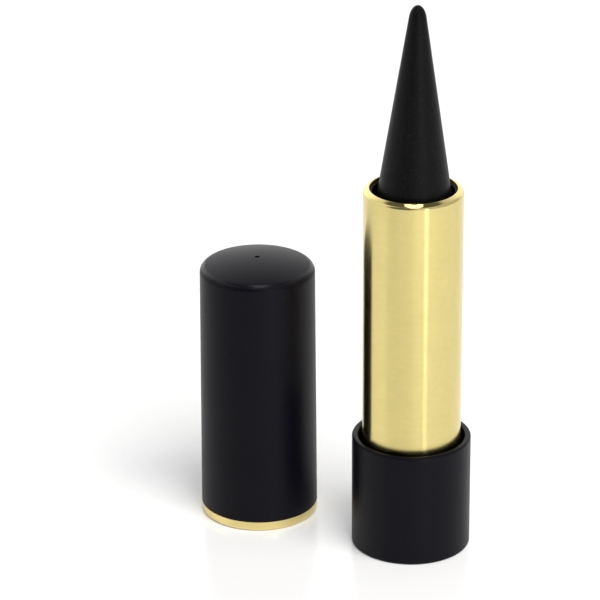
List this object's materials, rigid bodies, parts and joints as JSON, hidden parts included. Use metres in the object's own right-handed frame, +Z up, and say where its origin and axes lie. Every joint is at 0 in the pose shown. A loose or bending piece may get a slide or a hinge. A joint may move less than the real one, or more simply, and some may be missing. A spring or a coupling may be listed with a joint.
{
  "type": "kohl container",
  "caption": "Twist-up kohl container: turning the gold tube against the base winds a pointed kohl stick in or out, under a domed pull-off cap with a gold ring.",
  "frame": {"origin": "centre of the underside of the base, on the surface that the container stands on", "axes": "+Z up along the container's axis towards the kohl's tip, +X to the right and +Y to the back as the picture sees it, so that the cap stands on the -X side and a little behind"},
  "size_m": [0.0435, 0.0311, 0.0906],
  "materials": {
    "case_black": "soft matte black lacquer on a moulded case",
    "guide_black": "smooth black moulding",
    "brake_rubber": "greased dark rubber",
    "spiral_natural": "natural white moulding",
    "tube_gold": "satin pale gold anodised",
    "ring_gold": "bright pale gold anodised",
    "cup_black": "smooth black moulding",
    "kohl_black": "dense matte pressed wax and pigment",
    "liner_black": "smooth black moulding"
  },
  "bodies": {
    "base": {"base_shell": "case_black", "guide_tube": "guide_black", "brake_ring": "brake_rubber"},
    "winder": {"spiral_sleeve": "spiral_natural", "gold_shell": "tube_gold"},
    "carrier": {"carrier_cup": "cup_black", "kohl_stick": "kohl_black"},
    "cap": {"cap_shell": "case_black", "cap_liner": "liner_black", "cap_ring": "ring_gold"}
  },
  "joints": [
    {"name": "tube_twist", "type": "hinge", "parent": "base", "child": "winder", "pos_m": [0, 0, 0], "axis": [0, 0, 1], "range_deg": [0, 540]},
    {"name": "kohl_lift", "type": "slide", "parent": "base", "child": "carrier", "axis": [0, 0, 1], "range_m": [-0.03, 0]},
    {"name": "cap_lift", "type": "slide", "parent": "base", "child": "cap", "axis": [0, 0, 1], "range_m": [0, 0.095]}
  ],
  "couplings": [
    {"joint": "kohl_lift", "follows": "tube_twist", "m_per_rad": -0.0031831}
  ]
}
